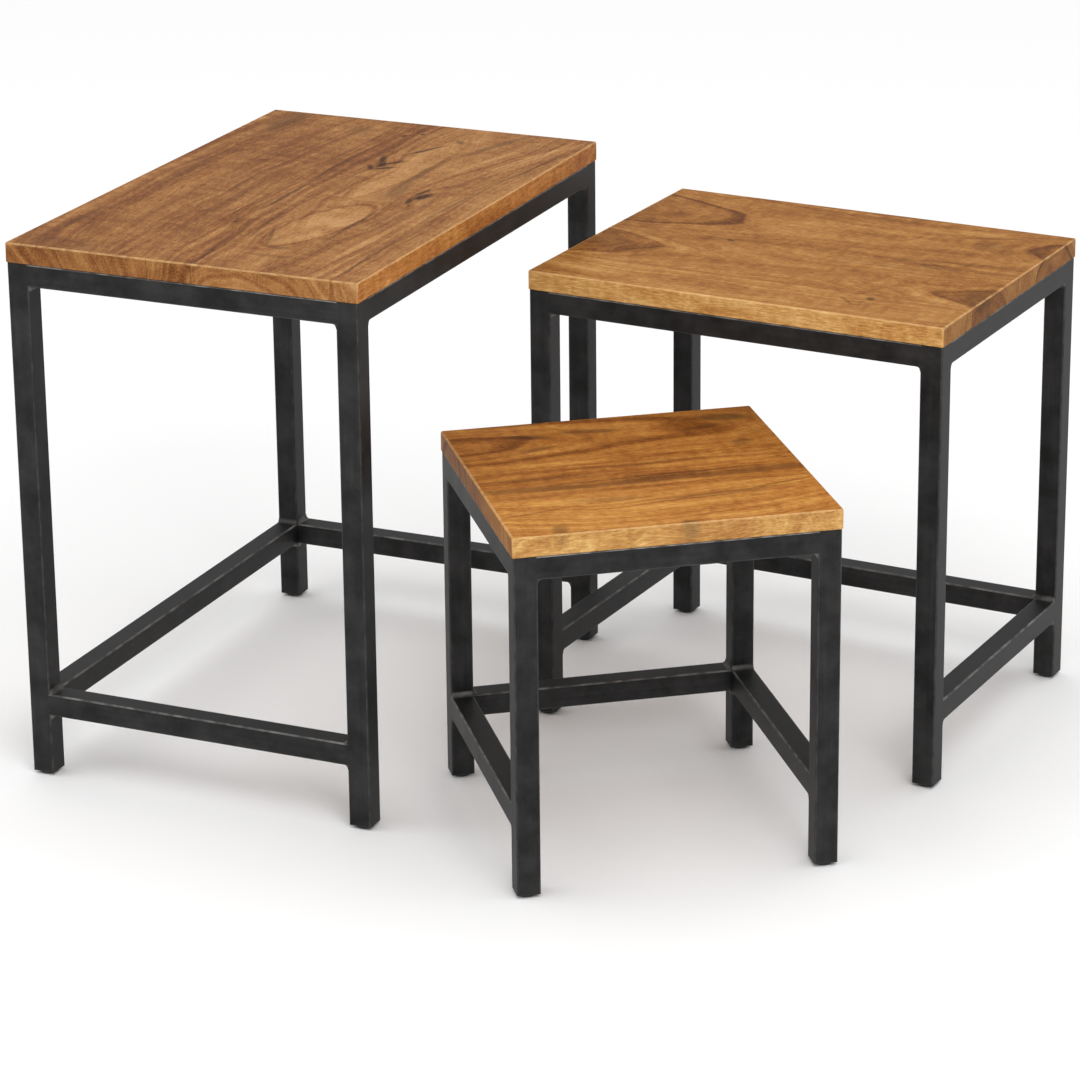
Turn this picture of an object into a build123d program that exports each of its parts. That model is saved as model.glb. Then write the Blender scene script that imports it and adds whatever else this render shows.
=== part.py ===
from build123d import *
from dataclasses import dataclass
from math import cos, radians, sin
import os

# Nest of three occasional tables: solid hardwood tops screwed to welded frames of square steel tube.
# Lengths are in mm and angles in degrees. The axes of the frame are those of the large table: +X runs
# along its short side, +Y along its long side, +Z up. The origin is on the floor, under the middle of
# the space that the three tables take up as they stand.

# Steel tube, which all legs, rails and stretchers share
TUBE = 25.0
TUBE_WALL = 1.5
TUBE_CORNER = 2.0
WELD_FILLET = 5.0

# Wooden tops
TOP_THICK = 21.5
TOP_OVERHANG = 1.0
TOP_EASE_UPPER = 1.8
TOP_EASE_LOWER = 1.0
TOP_EASE_CORNER = 2.0
GLUE_LINE = 0.1

# Levelling feet: a nylon disc on an M8 stud, in a threaded plug that closes the tube's lower end
FOOT_DIAMETER = 20.0
FOOT_THICK = 3.2
FOOT_EASE = 0.8
FOOT_GAP = 0.3
STUD_DIAMETER = 8.0
STUD_LENGTH = 22.0
STUD_PLAY = 0.05
PLUG_FLANGE = 1.0
PLUG_LENGTH = 16.0
PLUG_PLAY = 0.1
TUBE_FOOT = FOOT_THICK + FOOT_GAP + PLUG_FLANGE

# Fixings that hold each top down: steel tabs welded inside the rails, with a wood screw through each
TAB_WIDTH = 26.0
TAB_REACH = 18.0
TAB_THICK = 3.0
SCREW_DIAMETER = 4.0
SCREW_BITE = 13.0
SCREW_HEAD_DIAMETER = 8.0
SCREW_HEAD_HEIGHT = 2.4
TAB_HOLE_PLAY = 0.25
PILOT_PLAY = 0.05

# Height of the middle of the low stretchers
STRETCHER_MID = 83.0


@dataclass
class Table:
    """One table: its size over the top, where its front left corner stands and how it is turned."""

    name: str
    width: float
    depth: float
    height: float
    corner: tuple
    turn: float
    open_side: str
    boards: list
    boards_run: str

    def base(self):
        """The floor plane with its origin under the top's front left corner and X along the width."""
        direction = (cos(radians(self.turn)), sin(radians(self.turn)), 0)
        return Plane(origin=(*self.corner, 0), x_dir=direction, z_dir=(0, 0, 1))


large = Table("large", 410, 614, 600, (0, 0), 0, "right", [168, 52, 159, 31], "y")
medium = Table("medium", 487, 380, 518, (434, 365), -4.2, "front", [78, 130, 172], "x")
small = Table("small", 340, 344, 389, (620, -95), 36.9, "front", [112, 86, 146], "x")
tables = [large, medium, small]

# Move the three together, so that the middle of their plan comes over the origin
plan = [
    table.base().from_local_coords((x, y, 0))
    for table in tables
    for x in (0, table.width)
    for y in (0, table.depth)
]
middle_x = (min(p.X for p in plan) + max(p.X for p in plan)) / 2
middle_y = (min(p.Y for p in plan) + max(p.Y for p in plan)) / 2
for table in tables:
    table.corner = (table.corner[0] - middle_x, table.corner[1] - middle_y)


def crossing(base, point, run, across):
    """A plane at a point of a table, looking along run, with its X axis along across."""
    def direction(way):
        return base.from_local_coords(Vector(*way)) - base.origin

    return Plane(base.from_local_coords(point), x_dir=direction(across), z_dir=direction(run))


def square_tube(plane, length):
    """A length of the square tube, standing on plane with its centre line through the plane's origin."""
    with BuildPart() as tube:
        with BuildSketch(plane):
            RectangleRounded(TUBE, TUBE, TUBE_CORNER)
            bore = TUBE - 2 * TUBE_WALL
            RectangleRounded(bore, bore, TUBE_CORNER - TUBE_WALL, mode=Mode.SUBTRACT)
        extrude(amount=length)
    return tube.part


def weld_fillet(plane):
    """A ground fillet weld in the corner between a plane's X and Y axes, across one tube."""
    with BuildPart() as bead:
        with BuildSketch(plane.offset(-TUBE / 2 + TUBE_CORNER)):
            with BuildLine():
                Line((0, 0), (WELD_FILLET, 0))
                CenterArc((WELD_FILLET, WELD_FILLET), WELD_FILLET, 270, -90)
                Line((0, WELD_FILLET), (0, 0))
            make_face()
        extrude(amount=TUBE - 2 * TUBE_CORNER)
    return bead.part


def save(shape, name):
    shape.label = name
    export_step(shape, f"parts/{name}.step")


def group(solids):
    return Compound(children=solids)


os.makedirs("parts", exist_ok=True)

for table in tables:
    base = table.base()
    frame_top = table.height - TOP_THICK
    rail_mid = frame_top - TUBE / 2
    left = TOP_OVERHANG + TUBE / 2
    right = table.width - left
    front = left
    back = table.depth - front

    # Legs, from just over the feet up to the underside of the top
    legs = {
        "front_left": (left, front),
        "front_right": (right, front),
        "back_left": (left, back),
        "back_right": (right, back),
    }
    for place, (x, y) in legs.items():
        foot_of_leg = crossing(base, (x, y, TUBE_FOOT), (0, 0, 1), (1, 0, 0))
        save(square_tube(foot_of_leg, frame_top - TUBE_FOOT), f"{table.name}_leg_{place}")

    # Rails under the top on all four sides, and stretchers low down on three: the fourth side stays
    # open, so that the next smaller table can go in there
    sides = {
        "front": ((left, front), (right, front)),
        "right": ((right, front), (right, back)),
        "back": ((left, back), (right, back)),
        "left": ((left, front), (left, back)),
    }
    beads = []
    for side, ((x0, y0), (x1, y1)) in sides.items():
        along_x = side in ("front", "back")
        run = (1, 0, 0) if along_x else (0, 1, 0)
        length = (x1 - x0 if along_x else y1 - y0) - TUBE
        start = (x0 + run[0] * TUBE / 2, y0 + run[1] * TUBE / 2)
        end = (start[0] + run[0] * length, start[1] + run[1] * length)
        members = {"rail": rail_mid}
        if side != table.open_side:
            members["stretcher"] = STRETCHER_MID
        for member, z in members.items():
            tube_plane = crossing(base, (*start, z), run, (0, 0, 1))
            save(square_tube(tube_plane, length), f"{table.name}_{member}_{side}")
            for (x, y), way in ((start, 1), (end, -1)):
                inward = tuple(way * part for part in run)
                for up in ((-1,) if member == "rail" else (-1, 1)):
                    corner = base.from_local_coords((x, y, z + up * TUBE / 2))
                    along = base.from_local_coords(Vector(*inward)) - base.origin
                    across = along.cross(Vector(0, 0, up))
                    beads.append(weld_fillet(Plane(corner, x_dir=along, z_dir=across)))
    save(group(beads), f"{table.name}_weld_fillets")

    # Threaded plugs in the lower ends of the legs, and the levelling feet that screw into them
    plugs = []
    for place, (x, y) in legs.items():
        flange_plane = crossing(base, (x, y, TUBE_FOOT - PLUG_FLANGE), (0, 0, 1), (1, 0, 0))
        plug_width = TUBE - 2 * TUBE_WALL - 2 * PLUG_PLAY
        with BuildPart() as plug:
            with BuildSketch(flange_plane):
                RectangleRounded(TUBE, TUBE, TUBE_CORNER)
            extrude(amount=PLUG_FLANGE)
            with BuildSketch(flange_plane.offset(PLUG_FLANGE)):
                RectangleRounded(plug_width, plug_width, TUBE_CORNER - TUBE_WALL)
            extrude(amount=PLUG_LENGTH)
            with BuildSketch(flange_plane):
                Circle(STUD_DIAMETER / 2 + STUD_PLAY)
            extrude(amount=PLUG_FLANGE + PLUG_LENGTH, mode=Mode.SUBTRACT)
        plugs.append(plug.part)

        floor_plane = crossing(base, (x, y, 0), (0, 0, 1), (1, 0, 0))
        with BuildPart() as foot:
            with BuildSketch(floor_plane):
                Circle(FOOT_DIAMETER / 2)
            extrude(amount=FOOT_THICK)
            fillet(foot.edges(), FOOT_EASE)
            with BuildSketch(floor_plane.offset(FOOT_THICK)):
                Circle(STUD_DIAMETER / 2)
            extrude(amount=STUD_LENGTH)
        save(foot.part, f"{table.name}_foot_{place}")
    save(group(plugs), f"{table.name}_leg_plugs")

    # Fixing tabs, one at the middle of each rail, flush with the frame's top face
    reach = TUBE / 2 + TAB_REACH / 2
    tab_places = {
        (table.width / 2, front + reach): (TAB_WIDTH, TAB_REACH),
        (table.width / 2, back - reach): (TAB_WIDTH, TAB_REACH),
        (left + reach, table.depth / 2): (TAB_REACH, TAB_WIDTH),
        (right - reach, table.depth / 2): (TAB_REACH, TAB_WIDTH),
    }
    tabs = []
    screws = []
    for (x, y), (tab_x, tab_y) in tab_places.items():
        tab_plane = crossing(base, (x, y, frame_top - TAB_THICK), (0, 0, 1), (1, 0, 0))
        with BuildPart() as tab:
            with BuildSketch(tab_plane):
                Rectangle(tab_x, tab_y)
                Circle(SCREW_DIAMETER / 2 + TAB_HOLE_PLAY, mode=Mode.SUBTRACT)
            extrude(amount=TAB_THICK)
        tabs.append(tab.part)
        with BuildPart() as screw:
            with BuildSketch(tab_plane):
                Circle(SCREW_HEAD_DIAMETER / 2)
            extrude(amount=-SCREW_HEAD_HEIGHT)
            head_rim = screw.edges().sort_by(Axis.Z)[0]
            fillet(head_rim, SCREW_HEAD_HEIGHT / 2)
            with BuildSketch(tab_plane):
                Circle(SCREW_DIAMETER / 2)
            extrude(amount=TAB_THICK + SCREW_BITE)
        screws.append(screw.part)
    save(group(tabs), f"{table.name}_fixing_tabs")
    save(group(screws), f"{table.name}_top_screws")

    # The top: a slab with eased edges and pilot holes, which its glue lines part into boards
    with BuildPart() as top:
        top_plane = crossing(base, (0, 0, frame_top), (0, 0, 1), (1, 0, 0))
        with BuildSketch(top_plane):
            Rectangle(table.width, table.depth, align=Align.MIN)
        extrude(amount=TOP_THICK)
        fillet(top.edges().filter_by(Axis.Z), TOP_EASE_CORNER)
        fillet(top.faces().sort_by(Axis.Z)[-1].edges(), TOP_EASE_UPPER)
        fillet(top.faces().sort_by(Axis.Z)[0].edges(), TOP_EASE_LOWER)
        with BuildSketch(top_plane):
            with Locations(*tab_places):
                Circle(SCREW_DIAMETER / 2 + PILOT_PLAY)
        extrude(amount=SCREW_BITE + PILOT_PLAY, mode=Mode.SUBTRACT)
        seams = [sum(table.boards[:count]) for count in range(1, len(table.boards))]
        with BuildSketch(top_plane):
            for seam in seams:
                if table.boards_run == "x":
                    with Locations((table.width / 2, seam)):
                        Rectangle(table.width, GLUE_LINE)
                else:
                    with Locations((seam, table.depth / 2)):
                        Rectangle(GLUE_LINE, table.depth)
        extrude(amount=TOP_THICK, mode=Mode.SUBTRACT)
    save(top.part, f"{table.name}_top_boards")
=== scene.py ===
import math

import bmesh
import bpy
from mathutils import Matrix, Vector, noise


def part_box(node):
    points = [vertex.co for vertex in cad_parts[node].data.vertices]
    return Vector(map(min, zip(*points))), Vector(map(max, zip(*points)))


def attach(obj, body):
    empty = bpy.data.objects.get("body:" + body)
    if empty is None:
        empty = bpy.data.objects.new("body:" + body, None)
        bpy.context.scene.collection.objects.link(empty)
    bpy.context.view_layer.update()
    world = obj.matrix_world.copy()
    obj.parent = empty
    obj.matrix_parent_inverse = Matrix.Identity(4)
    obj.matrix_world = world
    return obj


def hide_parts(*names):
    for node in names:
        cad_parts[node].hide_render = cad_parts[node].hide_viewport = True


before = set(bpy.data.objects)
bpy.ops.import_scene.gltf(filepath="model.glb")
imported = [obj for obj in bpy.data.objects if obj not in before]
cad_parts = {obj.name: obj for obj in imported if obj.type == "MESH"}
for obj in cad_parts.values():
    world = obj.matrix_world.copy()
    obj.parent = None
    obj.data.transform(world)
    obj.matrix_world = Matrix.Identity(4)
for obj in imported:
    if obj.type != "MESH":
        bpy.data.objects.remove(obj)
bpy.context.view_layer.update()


# ------------------------------------------------------------------------------------------------
# The view: a person stands front right of the three tables and looks down on them through a long
# lens, so that all three tops and their front edges show.

camera_data = bpy.data.cameras.new("camera")
camera_data.sensor_width = 36
camera_data.lens = 136.3
camera_data.shift_y = -0.1
camera = bpy.data.objects.new("camera", camera_data)
bpy.context.scene.collection.objects.link(camera)
bpy.context.scene.camera = camera
camera_place = Vector((1.705, -3.850, 1.761))
camera_heading = math.radians(24.0)
camera_tilt = math.radians(18.52)
camera_roll = math.radians(-0.6)
camera.matrix_world = (
    Matrix.Translation(camera_place)
    @ Matrix.Rotation(camera_heading, 4, "Z")
    @ Matrix.Rotation(math.pi / 2 - camera_tilt, 4, "X")
    @ Matrix.Rotation(camera_roll, 4, "Z")
)


# ------------------------------------------------------------------------------------------------
# Legs, rails and stretchers: lengths of 25 mm square mild steel tube with rounded corners, welded
# and ground flush. A rail is carried 2 mm into the leg's rounded corner, where the weld metal is.
# The steel is blackened and then clear lacquered, so it stays dark with a soft sheen.

TUBE_CORNER = 0.002
CORNER_STEPS = 5
# From one ring of points to the next along a tube
TUBE_STATION = 0.012
# How pale the corners are painted, for rubbed wear and a painted highlight: undersides and legs a little,
# upper corners of level tubes, lit from above, much more
LITTLE_WEAR_AND_HIGHLIGHT = 0.22
LEVEL_TUBE_WEAR_AND_HIGHLIGHT = {"rail": 1.9, "stretcher": 1.1}
# Moves each tube to its own place in the pattern of mill lines, so that no two show the same ones
LINES_APART = 7


def middle(node):
    """The middle of a CAD node's box."""
    low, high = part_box(node)
    return (low + high) / 2


class Table:
    """One table's own axes: X and Y over the floor from the front left leg's centre line, Z up."""

    def __init__(self, name, open_side):
        self.name = name
        self.body = f"{name}_table"
        self.open_side = open_side
        corner = middle(f"{name}_leg_front_left")
        across = middle(f"{name}_leg_front_right") - corner
        deep = middle(f"{name}_leg_back_left") - corner
        self.width = across.length
        self.depth = deep.length
        self.place = Matrix.Identity(4)
        for column, axis in enumerate((across.normalized(), deep.normalized(), Vector((0, 0, 1)))):
            self.place.col[column].xyz = axis
        self.place.translation = (corner.x, corner.y, 0)
        leg_low, leg_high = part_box(f"{name}_leg_front_left")
        self.leg_foot = leg_low.z
        self.frame_top = leg_high.z
        rail_low, rail_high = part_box(f"{name}_rail_front")
        self.tube = rail_high.z - rail_low.z
        self.rail_mid = (rail_low.z + rail_high.z) / 2
        self.stretcher_mid = middle(f"{name}_stretcher_back").z

    def corners(self):
        """Each leg's place name and its centre line on the floor."""
        for deep, y in (("front", 0), ("back", self.depth)):
            for across, x in (("left", 0), ("right", self.width)):
                yield f"{deep}_{across}", Vector((x, y, 0))

    def sides(self):
        """Each side's name, the corner that its tubes start from, their direction and length."""
        x = Vector((1, 0, 0))
        y = Vector((0, 1, 0))
        yield "front", Vector((0, 0, 0)), x, self.width
        yield "right", Vector((self.width, 0, 0)), y, self.depth
        yield "back", Vector((0, self.depth, 0)), x, self.width
        yield "left", Vector((0, 0, 0)), y, self.depth

    def members(self):
        """The rails and stretchers: kind, side, start of the centre line, direction and length."""
        for side, corner, run, length in self.sides():
            yield "rail", side, corner + Vector((0, 0, self.rail_mid)), run, length
            if side != self.open_side:
                yield "stretcher", side, corner + Vector((0, 0, self.stretcher_mid)), run, length


tables = [Table("large", "right"), Table("medium", "front"), Table("small", "front")]


def linear(hex_colour):
    """An sRGB hex colour as linear red, green, blue and alpha."""
    levels = [int(hex_colour[i : i + 2], 16) / 255 for i in (1, 3, 5)]
    return [c / 12.92 if c <= 0.04045 else ((c + 0.055) / 1.055) ** 2.4 for c in levels] + [1.0]


def add(tree, kind, inputs=None, stops=(), **settings):
    """Adds a node with its settings. Each input gets a value, a socket's link or a node's first
    output, and a colour ramp gets its stops: positions, rising, each with a linear colour."""
    made = tree.nodes.new(kind)
    for name, value in settings.items():
        setattr(made, name, value)
    for index, (position, colour) in enumerate(stops):
        ramp = made.color_ramp.elements
        stop = ramp[index] if index < len(ramp) else ramp.new(position)
        stop.position = position
        stop.color = colour
    for name, value in (inputs or {}).items():
        if isinstance(value, bpy.types.Node):
            value = value.outputs[0]
        if isinstance(value, bpy.types.NodeSocket):
            tree.links.new(value, made.inputs[name])
        else:
            made.inputs[name].default_value = value
    return made


def new_material(name):
    """An empty node material and its tree."""
    material = bpy.data.materials.new(name)
    material.use_nodes = True
    material.node_tree.nodes.clear()
    return material, material.node_tree


def add_piece(name, mesh_data, material, place, body, node=None):
    """Makes an object of a mesh, moves the mesh to its place and ties the object to the frame. It
    stands in for a CAD node, if one is given."""
    mesh_data.transform(place)
    mesh_data.materials.append(material)
    piece = bpy.data.objects.new(name, mesh_data)
    bpy.context.scene.collection.objects.link(piece)
    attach(piece, body)
    if node:
        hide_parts(node)
    return piece


# Edges that turn by more than this stay sharp
SHARP_ANGLE = math.radians(50)


def finished(bm, name):
    """The mesh of a bmesh, shaded smooth but for its sharp edges."""
    bmesh.ops.recalc_face_normals(bm, faces=bm.faces)
    for edge in bm.edges:
        if len(edge.link_faces) == 2 and edge.calc_face_angle() > SHARP_ANGLE:
            edge.smooth = False
    mesh_data = bpy.data.meshes.new(name)
    bm.to_mesh(mesh_data)
    bm.free()
    for polygon in mesh_data.polygons:
        polygon.use_smooth = True
    return mesh_data


def skin_over(bm, rings):
    """Joins rings of points, one after another, into a closed body with flat ends."""
    for one, two in zip(rings, rings[1:]):
        for k in range(len(one)):
            after = (k + 1) % len(one)
            bm.faces.new((one[k], one[after], two[after], two[k]))
    bm.faces.new(rings[0])
    bm.faces.new(rings[-1])


def keep_flats(piece):
    """Shades the wide flat faces flat, right up to the rounded edges beside them."""
    weighted = piece.modifiers.new("flats", "WEIGHTED_NORMAL")
    weighted.keep_sharp = True
    weighted.weight = 100


def tube_mesh(name, start, run, side, length, size, upper_wear_and_highlight):
    """A closed length of tube. Its attributes say how far along and around it a point lies, and how pale it
    is painted, for rubbed wear and a painted highlight: the amount given for the upper corners of a level
    tube, and little elsewhere."""
    up = run.cross(side)
    half = size / 2 - TUBE_CORNER
    outline = []
    rubbed_and_lit = []
    for quarter in range(4):
        centre = Matrix.Rotation(quarter * math.pi / 2, 2) @ Vector((half, half))
        for step in range(CORNER_STEPS + 1):
            angle = (quarter + step / CORNER_STEPS) * math.pi / 2
            outline.append(centre + TUBE_CORNER * Vector((math.cos(angle), math.sin(angle))))
            wear_and_highlight = upper_wear_and_highlight if side.z * centre.x > 0 else LITTLE_WEAR_AND_HIGHLIGHT
            rubbed_and_lit.append(wear_and_highlight if 0 < step < CORNER_STEPS else 0.0)
    bm = bmesh.new()
    along = bm.verts.layers.float_vector.new("along")
    rub_and_highlight = bm.verts.layers.float.new("rub_and_highlight")
    rings = []
    count = max(2, round(length / TUBE_STATION))
    for station in range(count + 1):
        s = station / count * length
        ring = []
        for index, (x, y) in enumerate(outline):
            vert = bm.verts.new(start + run * s + side * x + up * y)
            around = 4 * size * index / len(outline)
            vert[along] = Vector((s, around, 0)) + LINES_APART * start
            vert[rub_and_highlight] = rubbed_and_lit[index]
            ring.append(vert)
        rings.append(ring)
    skin_over(bm, rings)
    return finished(bm, name)


def blackened_steel(name, base, cloud, worn_and_lit, run_from):
    """Mild steel, blackened with a patina and clear lacquered: near black with soft lighter clouds, fine
    lines left by the mill, and paler corners, partly where the black is rubbed thin and partly a painted
    highlight. The lines run "along" a tube, or follow a plate's "place"."""
    material, tree = new_material(name)
    place = add(tree, "ShaderNodeTexCoord").outputs["Object"]
    run = add(tree, "ShaderNodeAttribute", attribute_name="along").outputs["Vector"]
    if run_from == "place":
        run = place
    # Patina clouds, about 40 mm across with finer ones inside them
    clouds = add(tree, "ShaderNodeTexNoise", {"Vector": place, "Scale": 26, "Detail": 5, "Roughness": 0.6})
    patina = add(
        tree, "ShaderNodeValToRGB", {"Fac": clouds.outputs["Fac"]},
        stops=((0.36, linear(base)), (0.66, linear(cloud))),
    )
    # Mill lines lie 1 mm apart and run 100 mm and more along the tube
    mill = add(tree, "ShaderNodeVectorMath", {0: run, 1: (9, 1000, 1000)}, operation="MULTIPLY")
    lines = add(tree, "ShaderNodeTexNoise", {"Vector": mill, "Scale": 1, "Detail": 3, "Roughness": 0.6})
    # The pale corners, rubbed wear and painted highlight, come and go along a corner, every 14 mm or so
    rub_and_highlight = add(tree, "ShaderNodeAttribute", attribute_name="rub_and_highlight").outputs["Fac"]
    patches = add(tree, "ShaderNodeTexNoise", {"Vector": place, "Scale": 70, "Detail": 4})
    thin_and_lit = add(
        tree, "ShaderNodeMapRange",
        {"Value": patches.outputs["Fac"], "From Min": 0.40, "From Max": 0.66, "To Min": 0.16, "To Max": 0.62},
    )
    rubbed_and_lit = add(tree, "ShaderNodeMath", {0: rub_and_highlight, 1: thin_and_lit}, operation="MULTIPLY")
    worn_and_lit_mix = add(
        tree, "ShaderNodeMix", {"Factor": rubbed_and_lit, 6: patina.outputs["Color"], 7: linear(worn_and_lit)},
        data_type="RGBA",
    )
    lined = add(
        tree, "ShaderNodeMapRange",
        {"Value": lines.outputs["Fac"], "From Min": 0.25, "From Max": 0.75, "To Min": 0.82, "To Max": 1.18},
    )
    colour = add(tree, "ShaderNodeVectorMath", {0: worn_and_lit_mix.outputs[2], "Scale": lined}, operation="SCALE")
    rough = add(
        tree, "ShaderNodeMapRange",
        {"Value": clouds.outputs["Fac"], "From Min": 0.3, "From Max": 0.7, "To Min": 0.46, "To Max": 0.6},
    )
    # The lacquer's faint orange peel, about 2 mm from crest to crest, over the mill lines
    peel = add(tree, "ShaderNodeTexNoise", {"Vector": place, "Scale": 450, "Detail": 1})
    relief = add(tree, "ShaderNodeMath", {0: peel.outputs["Fac"], 1: lines.outputs["Fac"]}, operation="ADD")
    bump = add(tree, "ShaderNodeBump", {"Height": relief, "Strength": 0.3, "Distance": 0.00008})
    shader = add(
        tree, "ShaderNodeBsdfPrincipled",
        {
            "Base Color": colour, "Metallic": 0.45, "Roughness": rough, "Specular IOR Level": 0.2,
            "Normal": bump, "Coat Weight": 0.03, "Coat Roughness": 0.3,
        },
    )
    add(tree, "ShaderNodeOutputMaterial", {"Surface": shader})
    return material


# The pale colour paints the rubbed corners together with a painted highlight on them
tube_steel = blackened_steel("blackened_steel_tube", "#1e1e1e", "#353434", "#8f8e8b", "along")

for table in tables:
    for corner_name, foot_point in table.corners():
        start = foot_point + Vector((0, 0, table.leg_foot))
        name = f"{table.name}_leg_{corner_name}"
        length = table.frame_top - table.leg_foot
        shape = tube_mesh(
            name, start, Vector((0, 0, 1)), Vector((1, 0, 0)), length, table.tube, LITTLE_WEAR_AND_HIGHLIGHT
        )
        leg = add_piece(f"{name}_tube", shape, tube_steel, table.place, table.body, name)
        keep_flats(leg)
    for kind, side, start, run, length in table.members():
        name = f"{table.name}_{kind}_{side}"
        into_leg = table.tube / 2 - TUBE_CORNER
        shape = tube_mesh(
            name, start + run * into_leg, run, Vector((0, 0, 1)), length - 2 * into_leg, table.tube,
            LEVEL_TUBE_WEAR_AND_HIGHLIGHT[kind],
        )
        tube = add_piece(f"{name}_tube", shape, tube_steel, table.place, table.body, name)
        keep_flats(tube)


# ------------------------------------------------------------------------------------------------
# Fillet welds in the inner corners, above and below each stretcher and below each rail: run in by
# hand, ground to a hollow of 5 mm radius, then blackened with the frame.

WELD_RADIUS = 0.005
WELD_ARC_STEPS = 8
WELD_STATIONS = 22
# How far a bead stops short of the tube's side, and the share of its radius that it loses there
WELD_SHORT = 0.0004
WELD_TAPER = 0.12
# How deep its root lies in the steel
WELD_ROOT = 0.001
# Its face wanders from the true hollow every 1 mm or so, and the grinder leaves a 1.5 mm ripple
WELD_WANDER = 0.00022
WANDERS_PER_METRE = 900
WELD_RIPPLE = 0.00004
RIPPLE_TURNS = 4200


def weld_bead(bm, corner, inward, up, side, width):
    """One hollow fillet between a tube's face and a leg's face, across the width of the tube."""
    rub_and_highlight = bm.verts.layers.float.get("rub_and_highlight") or bm.verts.layers.float.new("rub_and_highlight")
    along = bm.verts.layers.float_vector.get("along") or bm.verts.layers.float_vector.new("along")
    rings = []
    for station in range(WELD_STATIONS + 1):
        t = station / WELD_STATIONS * 2 - 1
        across = t * (width / 2 - WELD_SHORT)
        # The bead thins out and drops away towards the tube's rounded corners
        fall = max(0.0, abs(across) - (width / 2 - TUBE_CORNER)) / TUBE_CORNER
        drop = TUBE_CORNER * (1 - math.sqrt(max(0.0, 1 - fall * fall)))
        ring = []
        for step in range(WELD_ARC_STEPS + 1):
            angle = step / WELD_ARC_STEPS * math.pi / 2
            radius = WELD_RADIUS * (1 - WELD_TAPER * fall)
            reach = radius * (1 - math.sin(angle))
            rise = radius * (1 - math.cos(angle))
            point = corner + inward * reach + up * rise + side * across
            wander = noise.noise(point * WANDERS_PER_METRE) * WELD_WANDER
            wander += math.sin(across * RIPPLE_TURNS) * WELD_RIPPLE
            lift = math.sin(angle * 2)
            point += (inward + up).normalized() * wander * lift - up * drop * (1 - rise / radius)
            vert = bm.verts.new(point)
            # Palest in the middle of the hollow: rubbed where the grinder reached best, and a painted
            # highlight along the bead
            vert[rub_and_highlight] = 0.35 + 0.3 * lift
            vert[along] = point
            ring.append(vert)
        root = bm.verts.new(corner - inward * WELD_ROOT - up * (WELD_ROOT + drop) + side * across)
        root[along] = corner
        ring.append(root)
        rings.append(ring)
    skin_over(bm, rings)


# The pale colour paints the ground weld's wear together with a painted highlight along the bead
weld_steel = blackened_steel("blackened_ground_weld", "#232323", "#3a3938", "#a3a29e", "along")

for table in tables:
    bm = bmesh.new()
    for kind, side, start, run, length in table.members():
        across = run.cross(Vector((0, 0, 1)))
        for foot_point, inward in ((start, run), (start + run * length, -run)):
            for up in ((-1,) if kind == "rail" else (-1, 1)):
                up_vector = Vector((0, 0, up))
                corner = foot_point + inward * table.tube / 2 + up_vector * table.tube / 2
                weld_bead(bm, corner, inward, up_vector, across, table.tube)
    shape = finished(bm, f"{table.name}_weld_fillets")
    add_piece(
        f"{table.name}_welds", shape, weld_steel, table.place, table.body,
        f"{table.name}_weld_fillets",
    )


# ------------------------------------------------------------------------------------------------
# Levelling feet: a nylon disc moulded on a zinc plated M8 stud, one under each leg. The stud
# screws into a moulded nylon plug that is knocked into the tube's end.

# The stud's thread, a little smaller than an M8 bolt's so that it turns freely in the plug
STUD_RADIUS = 0.00398
STUD_PITCH = 0.00125
STUD_THREAD_DEPTH = 0.00065
STUD_CHAMFER = 0.001
STUD_SEGMENTS = 28
ROWS_PER_PITCH = 6
# How far the stud's end is moulded into the disc
STUD_SUNK = 0.0008
# The disc's rounded rim, the depth of the hollow under it and the height of its collar
DISC_EASE = 0.0009
DISC_EASE_STEPS = 6
DISC_HOLLOW = 0.0003
DISC_COLLAR = 0.0006
# Clear height between the disc and the plug in the leg above it
LEG_CLEAR = 0.0003


def turned(bm, outline, segments=48):
    """A closed body turned about Z from an outline of (radius, height) points, from axis to axis."""
    rings = []
    for radius, height in outline:
        if radius == 0:
            rings.append([bm.verts.new((0, 0, height))])
            continue
        turns = [2 * math.pi * k / segments for k in range(segments)]
        rings.append([bm.verts.new((radius * math.cos(a), radius * math.sin(a), height)) for a in turns])
    for one, two in zip(rings, rings[1:]):
        for k in range(segments):
            after = (k + 1) % segments
            if len(one) == 1:
                bm.faces.new((one[0], two[k], two[after]))
            elif len(two) == 1:
                bm.faces.new((one[k], one[after], two[0]))
            else:
                bm.faces.new((one[k], one[after], two[after], two[k]))


def disc_mesh(radius, height):
    """The disc: a shallow hollow under it, a rounded rim, and a low collar around the stud."""
    shoulder = height - DISC_COLLAR
    outline = [(0, DISC_HOLLOW), (radius * 0.55, DISC_HOLLOW), (radius * 0.6, 0)]
    for centre, first_angle in ((DISC_EASE, -math.pi / 2), (shoulder - DISC_EASE, 0)):
        for step in range(DISC_EASE_STEPS + 1):
            angle = first_angle + step / DISC_EASE_STEPS * math.pi / 2
            out = radius - DISC_EASE + DISC_EASE * math.cos(angle)
            outline.append((out, centre + DISC_EASE * math.sin(angle)))
    outline += [(radius * 0.62, shoulder), (radius * 0.58, height), (0, height)]
    bm = bmesh.new()
    turned(bm, outline)
    return finished(bm, "foot_disc")


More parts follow.
